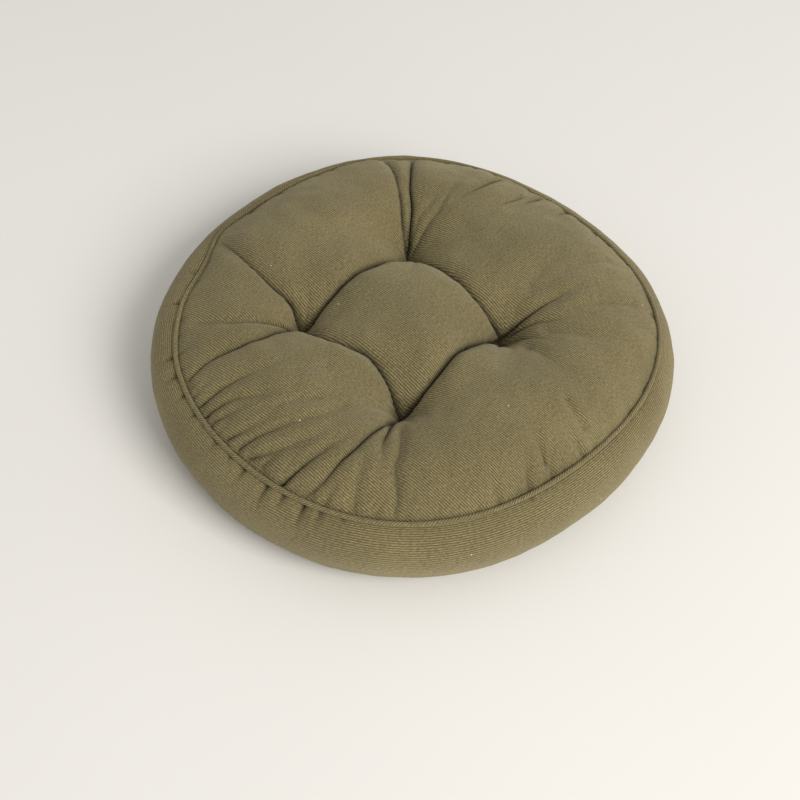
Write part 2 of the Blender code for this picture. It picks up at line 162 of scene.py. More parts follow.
# Creases in the top. Each is a line of points on the plan in mm, then how deep it is in mm at its start and
# at its end, and how far to each side it reaches. The first ones are already in the rough shape
SEEDED_CREASES = 18
CREASES = [
    # round the pillow in the middle, from tuft to tuft
    ([(-129, -22), (-98, 14), (-62, 57), (-39, 81), (-15, 105)], 18, 18, 28),
    ([(-15, 105), (7, 85), (33, 59), (70, 20), (99, -5)], 11, 11, 24),
    ([(99, -5), (80, -23), (53, -52), (20, -100), (-7, -130)], 17, 17, 26),
    ([(-129, -22), (-104, -47), (-75, -64), (-47, -78), (-24, -104), (-7, -130)], 12, 14, 25),
    # from the back tuft
    ([(-15, 105), (-15, 142), (-15, 164), (-19, 190), (-20, 215), (-20, 262)], 15, 8, 20),
    ([(-15, 105), (-24, 140), (-29, 171), (-35, 196), (-42, 224), (-54, 255)], 9, 6, 15),
    ([(-15, 105), (-6, 148), (7, 166), (20, 195)], 6, 1, 13),
    ([(-15, 105), (7, 143), (18, 159), (30, 187), (42, 215)], 6, 2, 12),
    ([(12, 147), (37, 172), (61, 198), (75, 213), (91, 234)], 1, 7, 13),
    ([(54, 153), (84, 166), (114, 189)], 0, 6, 12),
    ([(94, 154), (108, 166), (141, 206)], 0, 7, 12),
    ([(144, 152), (160, 172), (178, 198)], 0, 7, 12),
    # from the left tuft
    ([(-129, -22), (-139, 1), (-154, 11), (-170, 21), (-201, 49), (-232, 86)], 13, 4, 20),
    ([(-129, -22), (-147, -29), (-169, -38), (-189, -44), (-209, -47), (-244, -43)], 9, 2, 14),
    ([(-129, -22), (-150, -40), (-167, -61), (-185, -77), (-200, -86), (-217, -96), (-240, -115)], 12, 6, 18),
    # from the front tuft
    ([(-7, -130), (-17, -150), (-36, -177), (-50, -198), (-65, -217), (-80, -238), (-98, -252)], 14, 5, 18),
    ([(-7, -130), (-15, -154), (-21, -177), (-25, -197), (-22, -222)], 14, 1, 14),
    ([(-7, -172), (-7, -203), (-10, -220), (-5, -250), (-6, -264)], 4, 5, 14),
    # from the right tuft
    ([(99, -5), (118, 5), (129, 10), (144, 19), (157, 27), (173, 36), (188, 47)], 12, 1, 17),
    ([(99, -5), (135, -3), (156, -4), (196, 2)], 8, 1, 14),
    ([(99, -5), (133, -27), (169, -46)], 6, 0, 14),
    ([(142, 50), (178, 74), (214, 96)], 1, 4, 20),
    ([(128, 44), (150, 78), (170, 118)], 3, 1, 22),
    ([(176, 14), (206, 22), (244, 34)], 2, 4, 16),
    ([(150, -22), (190, -26), (238, -30)], 4, 1, 20),
    ([(128, -46), (158, -78), (186, -104)], 4, 1, 22),
    # gathered between the seam and the front lobes
    ([(-222, -149), (-198, -133), (-169, -119), (-149, -109), (-118, -94)], 8, 0, 15),
    ([(-212, -162), (-187, -149), (-159, -148), (-134, -139), (-112, -128)], 7, 0, 13),
    ([(-124, -241), (-104, -225), (-85, -209), (-70, -196), (-54, -184)], 10, 2, 14),
    ([(-173, -201), (-156, -193), (-137, -186), (-120, -179), (-89, -167), (-70, -151)], 7, 2, 13),
    ([(-160, -212), (-139, -210), (-109, -200), (-75, -182)], 7, 1, 12),
    ([(-187, -190), (-169, -185), (-152, -176), (-135, -166)], 7, 0, 12),
    ([(-202, -170), (-183, -163), (-163, -153)], 6, 0, 11),
    ([(-212, -161), (-194, -147)], 6, 0, 10),
    ([(-146, -221), (-124, -206), (-98, -192), (-69, -171)], 5, 0, 11),
    ([(-168, -172), (-130, -156), (-96, -146)], 0, 4, 11),
    ([(-150, -128), (-118, -112), (-91, -105)], 0, 3, 11),
    ([(-41, -216), (-46, -232), (-49, -262)], 2, 4, 12),
    ([(-66, -235), (-73, -249), (-78, -260)], 1, 4, 9),
    # at the seam on the right
    ([(143, -165), (148, -182), (153, -205)], 0, 5, 10),
    ([(120, -190), (124, -205), (129, -221)], 0, 5, 10),
    ([(160, -150), (172, -163), (188, -175)], 0, 5, 10),
    ([(125, -157), (135, -172), (145, -194)], 0, 6, 13),
    ([(164, -120), (172, -132), (181, -146)], 4, 3, 11),
    ([(84, -214), (97, -240)], 0, 4, 10),
]

# Puckers in the band below the upper seam: where, as an angle from +X, how long and how deep, in mm
PUCKERS = [
    *((-126.6, 26, 7), (-120.1, 40, 9), (-115.6, 26, 7), (-110.7, 36, 9), (-106.8, 28, 7), (-102, 14, 5)),
    *((-162.4, 30, 7), (-157, 32, 7), (-151, 20, 6), (-145, 18, 6), (-136, 20, 6), (-131, 16, 6)),
    *((-179.4, 20, 5), (170, 16, 4), (-60.2, 11, 5), (-83, 12, 2), (-20, 14, 2), (12, 16, 2)),
]

cover = {}  # the settled casing, which the other pieces are made on


# -------- settings that a user would change


def length_property(name, description, default):
    return bpy.props.FloatProperty(name=name, description=description, default=default, unit="LENGTH")


def colour_property(name, description, default):
    return bpy.props.FloatVectorProperty(
        name=name, description=description, default=default, subtype="COLOR", size=4, min=0.0, max=1.0
    )


class CushionSizes(bpy.types.PropertyGroup):
    cloth_thickness: length_property("Cloth", "Thickness of the needlecord", 1.0 * MM)
    wale_pitch: length_property("Wale pitch", "From one rib to the next", 2.5 * MM)
    piping_diameter: length_property("Piping", "Diameter of the covered cord", 5.4 * MM)
    stitch_spacing: length_property("Stitch", "From one stitch to the next", 3.2 * MM)
    twine_diameter: length_property("Twine", "Diameter of the tufting twine", 1.5 * MM)
    fullness: bpy.props.FloatProperty(
        name="Fullness", description="How hard the filling presses on the cover", default=45.0, min=1.0
    )


class CushionColours(bpy.types.PropertyGroup):
    rib: colour_property("Rib", "Needlecord on top of the ribs", (0.249, 0.204, 0.099, 1.0))
    groove: colour_property("Groove", "Needlecord between the ribs", (0.060, 0.047, 0.018, 1.0))
    thread: colour_property("Thread", "Sewing thread", (0.130, 0.106, 0.055, 1.0))
    twine: colour_property("Twine", "Tufting twine", (0.085, 0.068, 0.034, 1.0))
    cord: colour_property("Piping cord", "Undyed cotton cord", (0.68, 0.63, 0.52, 1.0))
    fibre: colour_property("Fibre", "Polyester filling", (0.86, 0.86, 0.84, 1.0))
    floor: colour_property("Floor", "Plain pale floor", (0.89, 0.875, 0.84, 1.0))


# -------- shape of the cushion


def seam_wobble(angle):
    """How far the sewn ring stands out of round in a direction."""
    return MM * sum(out * math.cos(waves * angle - math.radians(turn)) for waves, out, turn in SEAM_WAVES)


def seam_kink(angle):
    """How far the upper seam is drawn in and out where it's caught up at the left."""
    turned = [((math.degrees(angle) - towards + 180) % 360 - 180) / wide for towards, _out, wide in SEAM_KINKS]
    return MM * sum(out * math.exp(-(turn**2)) for turn, (_towards, out, _wide) in zip(turned, SEAM_KINKS))


def turned_point(x, y, angle):
    c, s = math.cos(angle), math.sin(angle)
    return c * x - s * y, s * x + c * y


def disc_pattern(cell, ring_count):
    """A disc of the pattern as square cells along the wales, with a ring of points on its edge."""
    turns = [math.tau * i / ring_count for i in range(ring_count)]
    points = [(PATTERN_RADIUS * math.cos(turn), PATTERN_RADIUS * math.sin(turn)) for turn in turns]
    span = int(PATTERN_RADIUS / cell) + 2
    limit = PATTERN_RADIUS - 0.55 * cell - 0.45 * math.tau * PATTERN_RADIUS / ring_count
    index = {}
    for j in range(-span, span + 1):
        for i in range(-span, span + 1):
            if math.hypot(i * cell, j * cell) < limit:
                index[i, j] = len(points)
                points.append(turned_point(i * cell, j * cell, WALE_TURN))
    cells = {}
    edge_uses = {}
    for i, j in index:
        corners = [(i, j), (i + 1, j), (i + 1, j + 1), (i, j + 1)]
        if all(corner in index for corner in corners):
            cells[i, j] = tuple(index[corner] for corner in corners)
            for a, b in zip(cells[i, j], cells[i, j][1:] + cells[i, j][:1]):
                edge = (min(a, b), max(a, b))
                edge_uses[edge] = edge_uses.get(edge, 0) + 1
    rim = [(i, (i + 1) % ring_count) for i in range(ring_count)]
    outline = [edge for edge, uses in edge_uses.items() if uses == 1]
    found = geometry.delaunay_2d_cdt([Vector(p) for p in points], rim + outline, [], 0, 1e-7)
    faces = list(cells.values())
    for triangle in found[2]:
        x, y = (sum(found[0][k][axis] for k in triangle) / 3 for axis in (0, 1))
        u, v = turned_point(x, y, -WALE_TURN)
        if (math.floor(u / cell), math.floor(v / cell)) not in cells:
            faces.append(tuple(triangle))
    return np.array(points), faces


def rounded_line(line, closed=False, pieces=4):
    """A smooth line through the points, with more points."""
    line = np.array(line, float)
    if closed:
        line = np.concatenate([line[-1:], line, line[:2]])
    else:
        line = np.concatenate([2 * line[:1] - line[1:2], line, 2 * line[-1:] - line[-2:-1]])
    a, b, c, d = line[:-3], line[1:-2], line[2:-1], line[3:]
    square_part, cube_part = 2 * a - 5 * b + 4 * c - d, 3 * b - a - 3 * c + d
    steps = np.arange(pieces) / pieces
    made = [0.5 * (2 * b + (c - a) * t + square_part * t**2 + cube_part * t**3) for t in steps]
    made = np.stack(made, axis=1).reshape(-1, line.shape[1])
    return made if closed else np.concatenate([made, line[-2:-1]])


def distance_to_line(points, line):
    """How far each point on the plan is from a line of points, how far along that is, and the place there."""
    line = np.array(line, float)
    steps = np.linalg.norm(np.diff(line, axis=0), axis=1)
    starts = np.concatenate([[0.0], np.cumsum(steps)])
    best = np.full(len(points), np.inf)
    along = np.zeros(len(points))
    places = np.array(points, float)
    for a, b, start, step in zip(line[:-1], line[1:], starts, steps):
        share = np.clip(((points - a) @ (b - a)) / step**2, 0, 1)
        nearest = a + share[:, None] * (b - a)
        distance = np.linalg.norm(points - nearest, axis=1)
        closer = distance < best
        best[closer] = distance[closer]
        along[closer] = start + share[closer] * step
        places[closer] = nearest[closer]
    return best, along / starts[-1], places


def nearest_tuft(plan):
    """The distance from each point on the plan to the nearest tuft."""
    return np.min([np.linalg.norm(plan - np.array(place), axis=1) for place in TUFTS.values()], axis=0)


def dimple(distance, radius):
    return np.where(distance < radius, 0.5 + 0.5 * np.cos(math.pi * distance / radius), 0.0)


def ring_values(shape, angles):
    return np.array([shape(a) for a in angles])


def out_of_round(plan, kinked=False):
    """Moves points on the plan out with the wobble of the seams, less towards the middle."""
    radius = np.linalg.norm(plan, axis=1)
    wobble = ring_values(lambda a: seam_wobble(a) + kinked * seam_kink(a), np.arctan2(plan[:, 1], plan[:, 0]))
    return plan * (1 + wobble * (radius / UPPER_SEAM[0]) ** 3 / np.maximum(radius, 1e-6))[:, None]


def cut_casing():
    """The casing: its points on the drum that the pattern makes, and the faces of its three pieces."""
    ring = round(math.tau * PATTERN_RADIUS / RING_CELL)
    rows = round(PATTERN_BAND / RING_CELL)
    top, top_faces = disc_pattern(CELL, ring)
    under, under_faces = disc_pattern(UNDERSIDE_CELL, ring)
    first_under = len(top)
    first_band = first_under + len(under)
    angles = math.tau * np.arange(ring) / ring
    heights = PATTERN_BAND * (1 - np.arange(1, rows) / rows)
    band_angles, band_heights = np.tile(angles, rows - 1), np.repeat(heights, ring)
    drum = np.concatenate(
        [
            np.c_[top, np.full(len(top), PATTERN_BAND)],
            np.c_[under, np.zeros(len(under))],
            np.c_[PATTERN_RADIUS * np.cos(band_angles), PATTERN_RADIUS * np.sin(band_angles), band_heights],
        ]
    )

    def band_point(row, i):
        i %= ring
        if row == 0:
            return i
        if row == rows:
            return first_under + i
        return first_band + (row - 1) * ring + i

    band_faces = [
        (band_point(j, i), band_point(j + 1, i), band_point(j + 1, i + 1), band_point(j, i + 1))
        for j in range(rows)
        for i in range(ring)
    ]
    under_faces = [tuple(first_under + k for k in reversed(face)) for face in under_faces]
    return {
        "drum": drum,
        "faces": {"top": top_faces, "under": under_faces, "band": band_faces},
        "ring": ring,
        "rows": rows,
        "top": np.arange(first_under),
        "under": np.arange(first_under, first_band),
        "band": np.arange(first_band, len(drum)),
        "band_point": band_point,
    }


def shoulder(inward, width):
    """Rises from 0 at the seam to 1 where a face has rounded off."""
    return np.sin(np.clip(inward / width, 0, 1) * math.pi / 2)


def rough_shape(casing):
    """Where the casing starts: stuffed and tufted smoothly, with the main creases pressed in."""
    drum = casing["drum"]
    points = drum.copy()
    seam, high = UPPER_SEAM
    low = LOWER_SEAM[1]
    top, under, band = casing["top"], casing["under"], casing["band"]
    plan = drum[top, :2] * seam / PATTERN_RADIUS
    inward = seam - np.linalg.norm(plan, axis=1)
    rise = CROWN_HEIGHT + 1 * MM - high
    height = high + rise * shoulder(inward, TOP_SHOULDER)
    pull = np.exp(-nearest_tuft(plan) / PIT_SPREAD)
    height -= pull * (high + rise - TUFT_TOP)
    crease = np.zeros(len(plan))
    for line, first, last, _reach in CREASES[:SEEDED_CREASES]:
        distance, along, _places = distance_to_line(plan * 1000, line)
        depth = CREASE_SEED * (first + (last - first) * along)
        crease = np.maximum(crease, depth * np.exp(-((distance / 10) ** 2)))
    height -= crease * (1 - pull) * np.clip(inward / (20 * MM), 0, 1)
    points[top] = np.c_[out_of_round(plan, kinked=True), height]

    plan = drum[under, :2] * seam / PATTERN_RADIUS
    inward = seam - np.linalg.norm(plan, axis=1)
    height = low * (1 - shoulder(inward, UNDER_SHOULDER)) + 0.5 * MM
    height += TUFT_UNDER * dimple(nearest_tuft(plan), UNDER_DIMPLE)
    points[under] = np.c_[out_of_round(plan), height]

    turn = math.pi * drum[band, 2] / PATTERN_BAND
    angle = np.arctan2(drum[band, 1], drum[band, 0])
    evenly, more, towards = BAND_SLACK
    slack = MM * (evenly + more * np.cos(angle - towards))
    radius = seam + (OVERALL_RADIUS - seam - slack) * np.sin(turn) + 0.8 * ring_values(seam_wobble, angle)
    near_top = np.clip(1 - 1.6 * np.sin(turn), 0, 1) * (turn > math.pi / 2)
    radius += near_top * ring_values(seam_kink, angle)
    height = (low + high) / 2 - (high - low) / 2 * np.cos(turn)
    points[band] = np.c_[radius * np.cos(angle), radius * np.sin(angle), height]
    return points


def hold_tufts(casing, points):
    """Gathers a few points of each face at each tuft, and lists them."""
    held = []
    for x, y in TUFTS.values():
        for side, height in (("top", TUFT_TOP), ("under", TUFT_UNDER)):
            indices = casing[side]
            distance = np.linalg.norm(points[indices, :2] - np.array((x, y)), axis=1)
            for place, i in enumerate(indices[np.argsort(distance)[:3]]):
                points[i] = (x + (place - 1) * TUFT_GATHER, y, height)
                held.append(int(i))
    return held


def stuff_by_simulation(casing, points, held, fullness):
    """Lets the cloth find its shape round the filling, and returns where its points end."""
    mesh = bpy.data.meshes.new("casing")
    mesh.from_pydata(points.tolist(), [], sum(casing["faces"].values(), []))
    casing_object = new_object("casing", mesh)
    casing_object.shape_key_add(name="Stuffed")
    pattern = casing_object.shape_key_add(name="Pattern")
    pattern.data.foreach_set("co", casing["drum"].ravel())
    pattern.value = 0.0
    ring = casing["ring"]
    seams = [*range(ring), *(casing["band_point"](casing["rows"], i) for i in range(ring))]
    hold = casing_object.vertex_groups.new(name="hold")
    hold.add(seams, SEAM_HOLD, "REPLACE")
    hold.add(held, 1.0, "REPLACE")
    ground_object = new_object("ground", square("ground", 1))
    ground_object.modifiers.new("Ground", "COLLISION")
    ground_object.collision.thickness_outer = 1 * MM

    cloth = casing_object.modifiers.new("Cloth", "CLOTH")
    settings = cloth.settings
    for way, (stiffness, damping) in CLOTH_FEEL.items():
        setattr(settings, way + "_stiffness", stiffness)
        setattr(settings, way + "_damping", damping)
    settings.quality = 4
    settings.mass = CLOTH_POINT_MASS
    settings.air_damping = 2.0
    settings.use_pressure = True
    settings.uniform_pressure_force = fullness
    settings.effector_weights.gravity = 0.0
    settings.vertex_group_mass = "hold"
    settings.pin_stiffness = 1.0
    settings.rest_shape_key = pattern
    cloth.collision_settings.use_self_collision = False
    cloth.collision_settings.distance_min = 2 * MM
    cloth.point_cache.frame_start, cloth.point_cache.frame_end = 1, SIMULATION_FRAMES
    scene = bpy.context.scene
    scene.frame_start, scene.frame_end = 1, SIMULATION_FRAMES
    for number in range(1, SIMULATION_FRAMES + 1):
        scene.frame_set(number)
    settled = points_of(casing_object.evaluated_get(bpy.context.evaluated_depsgraph_get()).data)
    for obj in (casing_object, ground_object):
        bpy.data.objects.remove(obj)
    scene.frame_set(1)
    if not np.isfinite(settled).all():
        raise RuntimeError("the cloth didn't settle")
    return settled


def cleft(reach, power=2.0):
    """How deep a fold is at a share of its reach: both sides are rounded, and meet in a sharp line."""
    return 1 - (1 - (1 - np.clip(reach, 0, 1)) ** power) ** (1 / power)


def values_of(items, name, width, kind=float):
    """One row for each item of a mesh, with its values."""
    values = np.empty(len(items) * width, kind)
    items.foreach_get(name, values)
    return values.reshape(-1, width)


def points_of(mesh):
    return values_of(mesh.vertices, "co", 3)


def normals_of(mesh):
    return values_of(mesh.vertices, "normal", 3)


def unevenness(points, size, seed):
    """Smooth noise from -1 to 1, with lumps of about the given size."""
    aside = Vector((seed, 0.0, 0.0))
    return np.array([noise.noise(Vector(p) / size + aside) for p in points.tolist()])


def lumpy(points, sizes):
    return sum(high * unevenness(points, wide * MM, seed) for high, wide, seed in sizes)


def tuft_pleats():
    """Small pleats that run out from each tuft between the creases."""
    dice = random.Random(7)
    pleats = []
    count = 13
    for x, y in TUFTS.values():
        turn = dice.uniform(0, 30)
        for step in range(count):
            angle = math.radians(turn + step * 360 / count + dice.uniform(-8, 8))
            bend = angle + math.radians(dice.uniform(-14, 14))
            first, last = dice.uniform(2, 5), dice.uniform(24, 46)
            line = [
                (x / MM + math.cos(a) * r, y / MM + math.sin(a) * r)
                for a, r in ((angle, first), (angle, (first + last) / 2), (bend, last))
            ]
            pleats.append((line, dice.uniform(2.0, 4.5), 0, dice.uniform(5, 8)))
    return pleats


def seam_gathers():
    """Small folds where the top is eased into the seam, closer and deeper at the front left."""
    dice = random.Random(11)
    gathers = []
    turn = 0.0
    while turn < 360:
        left_front = math.exp(-(((turn - 225) / 38) ** 2))
        angle = math.radians(turn)
        outer = (UPPER_SEAM[0] + seam_wobble(angle)) / MM - 1
        lean = math.radians(dice.uniform(-14, 14))
        length = dice.uniform(12, 26) + 22 * left_front * dice.random()
        edge = (outer * math.cos(angle), outer * math.sin(angle))
        inner = (edge[0] - length * math.cos(angle + lean), edge[1] - length * math.sin(angle + lean))
        gathers.append(([inner, edge], 0, dice.uniform(0.6, 2.4) + 1.0 * left_front, dice.uniform(6, 10)))
        turn += dice.uniform(4.0, 8.5) * (1 - 0.45 * left_front)
    return gathers


def fold_top(mesh):
    """Folds the top panel along its creases, rounds it up from its seam, and keeps a mask of painted shade."""
    points = points_of(mesh)
    normals = normals_of(mesh)
    plan = points[:, :2] / MM
    depth = np.zeros(len(plan))
    drawn = plan.copy()
    shade = np.zeros(len(plan))
    nearest = np.full(len(plan), np.inf)
    for line, first, last, reach in CREASES + tuft_pleats() + seam_gathers():
        line = rounded_line(line)
        low, high = line.min(axis=0) - reach, line.max(axis=0) + reach
        inside = np.nonzero(((plan > low) & (plan < high)).all(axis=1))[0]
        distance, along, places = distance_to_line(plan[inside], line)
        close = distance < reach
        inside, distance, along, places = inside[close], distance[close], along[close], places[close]
        strength = first + (last - first) * along
        lip = LIP * reach
        apart = np.where(distance < lip, np.clip(distance - SNAP, 0, None) * (lip / (lip - SNAP)), distance)
        # a shallow fold is a soft dimple, and a deep one a sharp cleft
        sharp = np.clip((strength - SOFT_FOLD) / (SHARP_FOLD - SOFT_FOLD), 0, 1)
        profile = sharp * cleft(apart / reach, 2 + strength / 15) + (1 - sharp) * dimple(apart, 0.8 * reach)
        depth[inside] = np.maximum(depth[inside], strength * profile)
        # painted shade: each crease deeper than 1.5 mm gets a dark line along its middle, darker for deeper
        # creases, for the shade in the cleft
        dark = np.clip((strength - 1.5) / 8, 0, 1) ** 1.3 * np.exp(-apart / 1.6)
        shade[inside] = np.maximum(shade[inside], dark)
        # the lips on both sides are drawn together over it
        nearer = (distance < nearest[inside]) & (distance < lip) & (strength > 1.5)
        chosen = inside[nearer]
        nearest[chosen] = distance[nearer]
        closed = np.maximum(apart - LIP_PULL * strength * np.exp(-apart / LIP_WIDTH), 0.15 * apart)
        share = (closed / np.maximum(distance, 1e-6))[nearer]
        drawn[chosen] = places[nearer] + (plan[chosen] - places[nearer]) * share[:, None]
    angles = np.arctan2(plan[:, 1], plan[:, 0])
    seam = ring_values(lambda a: UPPER_SEAM[0] + seam_wobble(a) + seam_kink(a), angles) / MM
    inward = np.clip(seam - np.linalg.norm(plan, axis=1), 0, None)
    mouth = np.exp(-((nearest_tuft(plan * MM) / MM / TUFT_MOUTH) ** 2))
    free = np.clip(inward / 5, 0, 1) * (1 - mouth)
    puff = SEAM_PUFF * (1 - cleft(inward / SEAM_PUFF_REACH))
    lumps = lumpy(points, TOP_LUMPS)
    points[:, :2] += (drawn - plan) * MM * free[:, None]
    points += normals * ((puff - free * depth + free * lumps) * MM)[:, None]
    set_points(mesh, relaxed(mesh, points, 0.3 * np.clip(inward / 8, 0, 1)))
    # painted shade: a dark strip along the seam beside the piping and a dark patch in each tuft's pit join the
    # crease lines in the fold mask
    shade = np.maximum(shade, 0.85 * np.exp(-np.clip(inward - 1.0, 0, None) / 1.8))
    keep_mask(mesh, "fold", np.maximum(shade, 0.9 * mouth))


def keep_mask(mesh, name, values):
    mesh.attributes.new(name, "FLOAT", "POINT").data.foreach_set("value", np.asarray(values, np.float32))


def relaxed(mesh, points, amount):
    """Moves each point towards the middle of its neighbours by a share."""
    edges = values_of(mesh.edges, "vertices", 2, np.int32)
    total = np.zeros_like(points)
    for ends, others in (edges.T, edges.T[::-1]):
        total += np.stack([np.bincount(ends, points[others, axis], len(points)) for axis in range(3)], axis=1)
    count = np.bincount(edges.ravel(), minlength=len(points))[:, None]
    return points + amount[:, None] * (total / count - points)


def aside_mm(angle, place):
    """How far round the band points are from a place on it, in mm."""
    return np.abs(np.angle(np.exp(1j * (angle - place)))) * UPPER_SEAM[0] / MM


def fold_band(mesh, height):
    """Puckers the side band below its upper seam, rounds it out from both seams, and keeps a mask of painted
    shade.
    """
    points = points_of(mesh)
    normals = normals_of(mesh)
    angle = np.arctan2(points[:, 1], points[:, 0])
    below, above = (PATTERN_BAND - height) / MM, height / MM
    depth = np.zeros(len(points))
    shade = np.zeros(len(points))
    dice = random.Random(5)
    small = [
        (turn + dice.uniform(-2, 2), dice.uniform(6, 16), dice.uniform(0.4, 1.4))
        for turn in range(-180, 180, 5)
    ]
    for turn, length, deep in PUCKERS + small:
        aside = aside_mm(angle, math.radians(turn))
        fade = np.clip(1 - below / length, 0, 1)
        depth = np.maximum(depth, deep * fade * cleft(aside / PUCKER_REACH, 1.6))
        # painted shade: a dark line along the middle of each pucker
        shade = np.maximum(shade, np.clip(deep / 5, 0, 1) * fade * np.exp(-aside / 1.4))
    depth = np.maximum(depth, JOIN_DEPTH * cleft(aside_mm(angle, BACK) / JOIN_REACH))
    edge = np.minimum(below, above)
    free = np.clip(edge / 3.0, 0, 1)
    puff = BAND_PUFF * (1 - cleft(edge / BAND_PUFF_REACH))
    points += normals * ((puff - free * depth + free * lumpy(points, BAND_LUMPS)) * MM)[:, None]
    points[:, 2] = np.maximum(points[:, 2], 0.6 * MM)
    set_points(mesh, points)
    # painted shade: a dark strip along both seams beside the pipings joins the puckers' lines in the fold mask
    keep_mask(mesh, "fold", np.maximum(shade, 0.8 * np.exp(-edge / 1.3)))


# -------- meshes


def new_object(name, mesh):
    obj = bpy.data.objects.new(name, mesh)
    bpy.context.scene.collection.objects.link(obj)
    return obj


def square(name, half):
    """A flat square on the ground."""
    mesh = bpy.data.meshes.new(name)
    corners = [(-half, -half, 0), (half, -half, 0), (half, half, 0), (-half, half, 0)]
    mesh.from_pydata(corners, [], [(0, 1, 2, 3)])
    return mesh


def applied(obj):
    """Applies the object's modifiers: it becomes a plain mesh at the origin."""
    bpy.context.view_layer.update()
    graph = bpy.context.evaluated_depsgraph_get()
    evaluated = obj.evaluated_get(graph)
    mesh = bpy.data.meshes.new_from_object(evaluated, preserve_all_data_layers=True, depsgraph=graph)
    mesh.transform(obj.matrix_world)
    name = obj.name
    bpy.data.objects.remove(obj)
    mesh.name = name
    return new_object(name, mesh)


def add_modifier(obj, kind, **values):
    modifier = obj.modifiers.new(kind.title(), kind)
    for key, value in values.items():
        setattr(modifier, key, value)
    return modifier


def set_points(mesh, points):
    mesh.vertices.foreach_set("co", np.asarray(points, float).ravel())
    mesh.update()


def declare(obj, slot, *nodes, fill=None):
    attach(obj, "root")
    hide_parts(*nodes)
    return obj


# -------- materials


class Nodes:
    """Adds nodes to a tree and links them by name."""

    def __init__(self, tree):
        self.tree = tree

    def add(self, kind, links=None, **settings):
        node = self.tree.nodes.new(kind)
        for key, value in settings.items():
            setattr(node, key, value)
        for socket, value in (links or {}).items():
            if isinstance(value, bpy.types.NodeSocket):
                self.tree.links.new(value, node.inputs[socket])
            else:
                node.inputs[socket].default_value = value
        return node

    def first(self, kind, links=None, **settings):
        return self.add(kind, links, **settings).outputs[0]

    def math(self, operation, *values):
        return self.first("ShaderNodeMath", dict(enumerate(values)), operation=operation)

    def vector(self, x, y, z=0.0):
        return self.first("ShaderNodeCombineXYZ", {"X": x, "Y": y, "Z": z})

    def noise(self, vector, scale, detail=2.0):
        return self.add("ShaderNodeTexNoise", {"Vector": vector, "Scale": scale, "Detail": detail}).outputs["Fac"]

    def mix(self, factor, a, b, blend="MIX"):
        node = self.add("ShaderNodeMix", {0: factor}, data_type="RGBA", blend_type=blend)
        for socket, value in ((6, a), (7, b)):
            if isinstance(value, bpy.types.NodeSocket):
                self.tree.links.new(value, node.inputs[socket])
            else:
                node.inputs[socket].default_value = value
        return node.outputs[2]

    def ramp(self, factor, *stops):
        """A ramp of greys: pairs of place and value."""
        node = self.add("ShaderNodeValToRGB", {"Fac": factor})
        for element, (place, value) in zip(node.color_ramp.elements, stops):
            element.position = place
            element.color = (value, value, value, 1.0)
        return node.outputs["Color"]

    def finish(self, shader, colour, height=None, depth=0.0, strength=1.0):
        """Links a colour to the shader, and a bump of the height."""
        self.tree.links.new(colour, shader.inputs["Base Color"])
        if height is not None:
            bump = self.first("ShaderNodeBump", {"Height": height, "Strength": strength, "Distance": depth})
            self.tree.links.new(bump, shader.inputs["Normal"])


def new_tree(name, kind, inputs, outputs):
    """A node tree with named sockets. Each input has its name, its sort, and its default if it has one."""
    tree = bpy.data.node_groups.new(name, kind)
    for socket, sort, *default in inputs:
        made = tree.interface.new_socket(socket, in_out="INPUT", socket_type="NodeSocket" + sort)
        if default:
            made.default_value = default[0]
    for socket, sort in outputs:
        tree.interface.new_socket(socket, in_out="OUTPUT", socket_type="NodeSocket" + sort)
    return tree, Nodes(tree)


def needlecord_group():
    """Ribs of short pile, in metres along and across the wales, with the nap's blotches and specks of lint."""
    outputs = [(name, "Float") for name in ("Height", "Rib", "Nap", "Grain", "Lint")]
    inputs = [("Cloth Coordinate", "Vector"), ("Pitch", "Float", 0.0028), ("Waver", "Float", 0.2)]
    tree, n = new_tree("Needlecord Ribs", "ShaderNodeTree", inputs, outputs)
    given = n.add("NodeGroupInput").outputs
    place = given["Cloth Coordinate"]
    along, across, _ = n.add("ShaderNodeSeparateXYZ", {0: place}).outputs
    drift = n.math("SUBTRACT", n.noise(place, 45.0, 1.0), 0.5)
    phase = n.math("ADD", n.math("DIVIDE", across, given["Pitch"]), n.math("MULTIPLY", drift, given["Waver"]))
    rib = n.math("ABSOLUTE", n.math("SINE", n.math("MULTIPLY", phase, math.pi)))
    rounded = n.math("POWER", rib, 0.9)
    pile = n.noise(n.vector(along, n.math("MULTIPLY", across, 2.2)), 750.0, 3.0)
    bead = n.math("MULTIPLY", n.math("SUBTRACT", pile, 0.5), 0.55)
    mask = n.math("ADD", rounded, n.math("MULTIPLY", bead, 0.9))
    cells = n.add("ShaderNodeTexVoronoi", {"Vector": place, "Scale": 11.0}, voronoi_dimensions="2D").outputs
    speck = n.math("LESS_THAN", cells["Distance"], 0.009)
    chosen = n.add("ShaderNodeSeparateColor", {0: cells["Color"]}).outputs["Red"]
    made = {
        "Height": n.math("ADD", rounded, bead),
        "Rib": n.math("MINIMUM", n.math("MAXIMUM", mask, 0.0), 1.0),
        "Nap": n.noise(place, 9.0, 4.0),
        "Grain": n.noise(n.vector(n.math("MULTIPLY", along, 0.45), across), 600.0, 3.0),
        "Lint": n.math("MULTIPLY", speck, n.math("GREATER_THAN", chosen, 0.78)),
    }
    n.add("NodeGroupOutput", made)
    return tree


